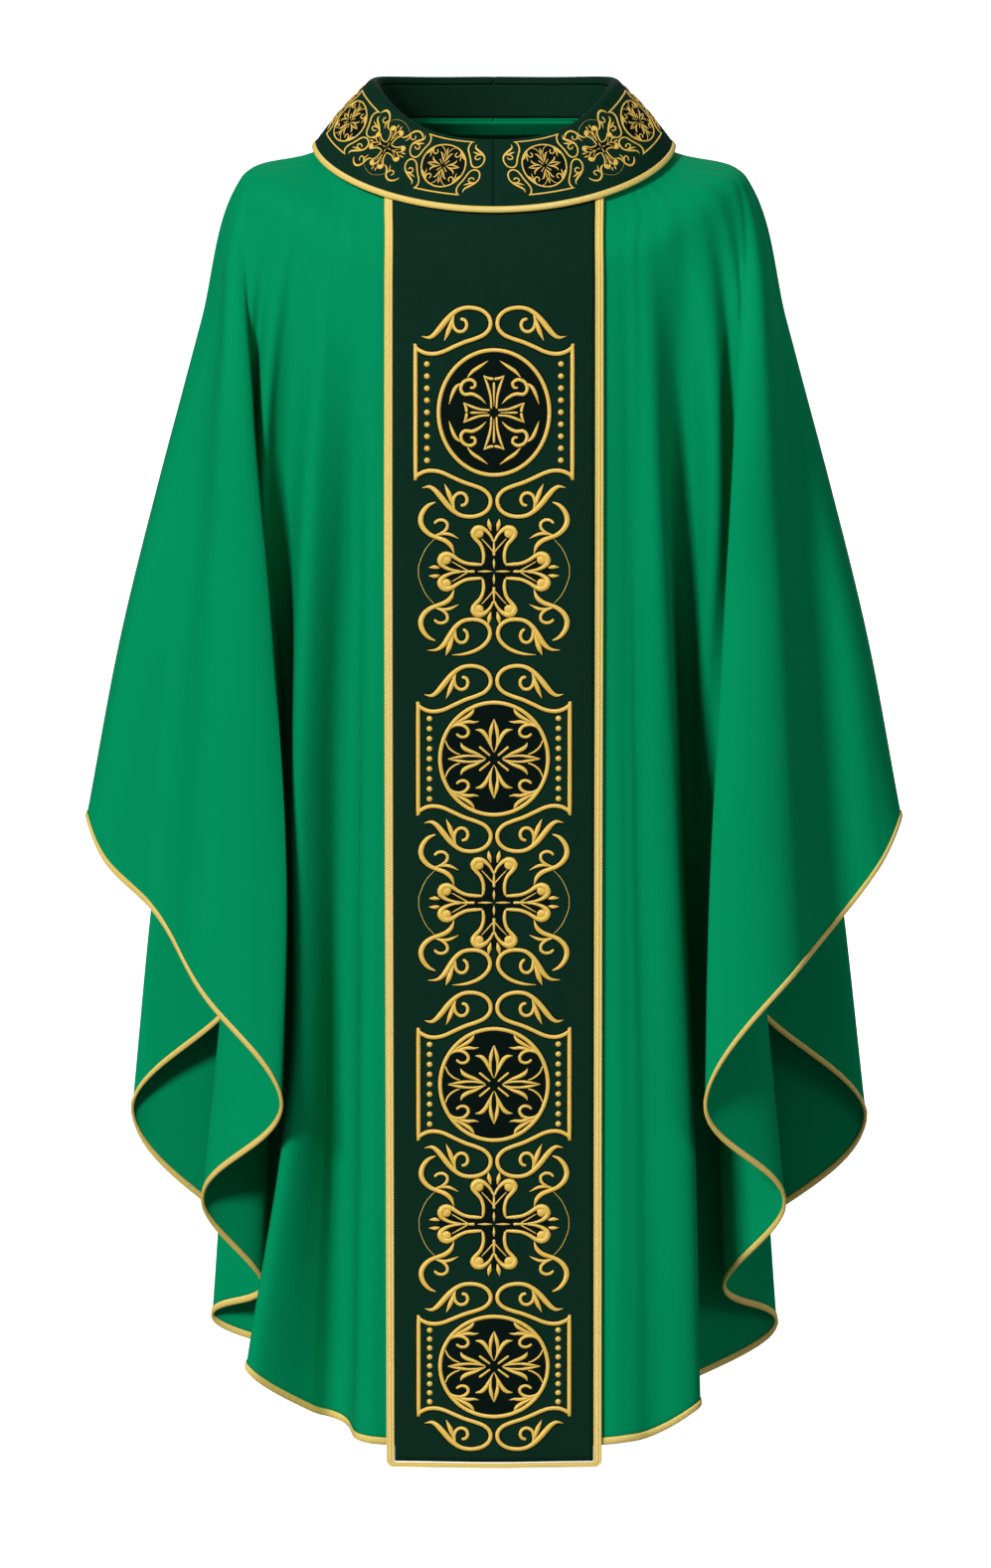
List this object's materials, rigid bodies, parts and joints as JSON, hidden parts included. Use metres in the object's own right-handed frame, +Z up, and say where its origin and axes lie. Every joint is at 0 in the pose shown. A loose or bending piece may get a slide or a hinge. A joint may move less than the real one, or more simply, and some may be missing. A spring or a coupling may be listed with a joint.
{
  "type": "chasuble",
  "caption": "Full sleeveless vestment that hangs from the shoulders, with a rolled collar, an embroidered centre band front and back, and a bound hem.",
  "frame": {"origin": "middle of the neck opening, level with the points where the collar meets the shoulder lines", "axes": "+Z up, +Y towards the back, so the front faces -Y; +X is the wearer's left"},
  "size_m": [0.8214, 0.3454, 1.3909],
  "materials": {
    "body_cloth": "smooth matt crepe, green",
    "band_cloth": "short-pile dark green cloth",
    "gold_trim": "woven gold braid with a soft shine",
    "gold_embroidery": "raised satin stitch in gold thread",
    "lining": "plain woven interlining"
  },
  "bodies": {
    "root": {"back_band": "band_cloth", "back_band_braid": "gold_trim", "back_band_interlining": "lining", "back_cross_1": "gold_embroidery", "back_cross_2": "gold_embroidery", "back_cross_3": "gold_embroidery", "back_left_hem_binding": "gold_trim", "back_left_panel": "body_cloth", "back_medallion_1": "gold_embroidery", "back_medallion_2": "gold_embroidery", "back_medallion_3": "gold_embroidery", "back_medallion_4": "gold_embroidery", "back_right_hem_binding": "gold_trim", "back_right_panel": "body_cloth", "collar_fall_left": "band_cloth", "collar_fall_right": "band_cloth", "collar_interlining": "lining", "collar_left_cross_back": "gold_embroidery", "collar_left_cross_front": "gold_embroidery", "collar_left_medallion_back": "gold_embroidery", "collar_left_medallion_front": "gold_embroidery", "collar_left_medallion_side": "gold_embroidery", "collar_piping": "gold_trim", "collar_right_cross_back": "gold_embroidery", "collar_right_cross_front": "gold_embroidery", "collar_right_medallion_back": "gold_embroidery", "collar_right_medallion_front": "gold_embroidery", "collar_right_medallion_side": "gold_embroidery", "collar_stand": "band_cloth", "front_band": "band_cloth", "front_band_braid": "gold_trim", "front_band_interlining": "lining", "front_cross_1": "gold_embroidery", "front_cross_2": "gold_embroidery", "front_cross_3": "gold_embroidery", "front_left_hem_binding": "gold_trim", "front_left_panel": "body_cloth", "front_medallion_1": "gold_embroidery", "front_medallion_2": "gold_embroidery", "front_medallion_3": "gold_embroidery", "front_medallion_4": "gold_embroidery", "front_right_hem_binding": "gold_trim", "front_right_panel": "body_cloth", "left_shoulder_tape": "lining", "neck_facing": "body_cloth", "right_shoulder_tape": "lining"}
  },
  "joints": []
}
